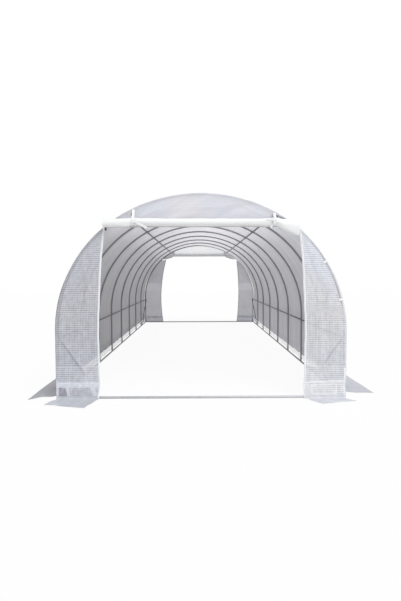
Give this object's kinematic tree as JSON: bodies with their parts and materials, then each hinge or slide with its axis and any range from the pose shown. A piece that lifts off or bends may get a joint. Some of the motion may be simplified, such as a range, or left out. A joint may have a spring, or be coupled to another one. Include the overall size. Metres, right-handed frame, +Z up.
{
  "type": "polytunnel",
  "caption": "Walk-in polytunnel: steel hoops and rails under a translucent film cover with ground skirts and a roll-up zipped door at each end.",
  "frame": {"origin": "on the ground in the middle of the tunnel", "axes": "+X to the right seen from the front door, +Y from the front door along the tunnel to the rear door, +Z up"},
  "size_m": [3.68, 8.708, 2.1259],
  "materials": {
    "galvanised_steel": "satin",
    "reinforced_film": "satin",
    "white_curtain_film": "satin",
    "white_webbing": "matte",
    "white_zip_plastic": "satin"
  },
  "bodies": {
    "tunnel": {"arch_1": "galvanised_steel", "arch_2": "galvanised_steel", "arch_3": "galvanised_steel", "arch_4": "galvanised_steel", "arch_5": "galvanised_steel", "arch_6": "galvanised_steel", "arch_7": "galvanised_steel", "arch_8": "galvanised_steel", "arch_9": "galvanised_steel", "base_rail_left": "galvanised_steel", "base_rail_right": "galvanised_steel", "corner_brace_front_left": "galvanised_steel", "corner_brace_front_right": "galvanised_steel", "corner_brace_rear_left": "galvanised_steel", "corner_brace_rear_right": "galvanised_steel", "cover_sheet": "reinforced_film", "front_door_header": "white_curtain_film", "front_gable": "reinforced_film", "front_panel_left": "reinforced_film", "front_panel_right": "reinforced_film", "front_strap_left": "white_webbing", "front_strap_right": "white_webbing", "ground_bar_front": "galvanised_steel", "ground_bar_rear": "galvanised_steel", "leg_left_1": "galvanised_steel", "leg_left_2": "galvanised_steel", "leg_left_3": "galvanised_steel", "leg_left_4": "galvanised_steel", "leg_left_5": "galvanised_steel", "leg_left_6": "galvanised_steel", "leg_left_7": "galvanised_steel", "leg_left_8": "galvanised_steel", "leg_left_9": "galvanised_steel", "leg_right_1": "galvanised_steel", "leg_right_2": "galvanised_steel", "leg_right_3": "galvanised_steel", "leg_right_4": "galvanised_steel", "leg_right_5": "galvanised_steel", "leg_right_6": "galvanised_steel", "leg_right_7": "galvanised_steel", "leg_right_8": "galvanised_steel", "leg_right_9": "galvanised_steel", "purlin_left": "galvanised_steel", "purlin_right": "galvanised_steel", "rear_door_header": "white_curtain_film", "rear_gable": "reinforced_film", "rear_panel_left": "reinforced_film", "rear_panel_right": "reinforced_film", "rear_strap_left": "white_webbing", "rear_strap_right": "white_webbing", "side_rail_left": "galvanised_steel", "side_rail_right": "galvanised_steel", "skirt_left": "reinforced_film", "skirt_right": "reinforced_film"},
    "front_door": {"front_door_roll": "white_curtain_film"},
    "rear_door": {"rear_door_roll": "white_curtain_film"},
    "front_zip_left": {"front_zip_slider_left": "white_zip_plastic"},
    "front_zip_right": {"front_zip_slider_right": "white_zip_plastic"},
    "rear_zip_left": {"rear_zip_slider_left": "white_zip_plastic"},
    "rear_zip_right": {"rear_zip_slider_right": "white_zip_plastic"}
  },
  "joints": [
    {"name": "front_door_lowering", "type": "slide", "parent": "tunnel", "child": "front_door", "axis": [0, 0, -1], "range_m": [0, 1.66], "deforming": ["front_door_header", "front_strap_left", "front_strap_right"]},
    {"name": "rear_door_lowering", "type": "slide", "parent": "tunnel", "child": "rear_door", "axis": [0, 0, -1], "range_m": [0, 1.69], "deforming": ["rear_door_header", "rear_strap_left", "rear_strap_right"]},
    {"name": "front_zip_left_closing", "type": "slide", "parent": "tunnel", "child": "front_zip_left", "axis": [-0.0297, 0, -0.9996], "range_m": [0, 1.57]},
    {"name": "front_zip_right_closing", "type": "slide", "parent": "tunnel", "child": "front_zip_right", "axis": [0.024, 0, -0.9997], "range_m": [0, 1.53]},
    {"name": "rear_zip_right_closing", "type": "slide", "parent": "tunnel", "child": "rear_zip_right", "axis": [0.0007, 0, -1], "range_m": [0, 1.49]},
    {"name": "rear_zip_left_closing", "type": "slide", "parent": "tunnel", "child": "rear_zip_left", "axis": [-0.0469, 0, -0.9989], "range_m": [0, 1.51]}
  ]
}
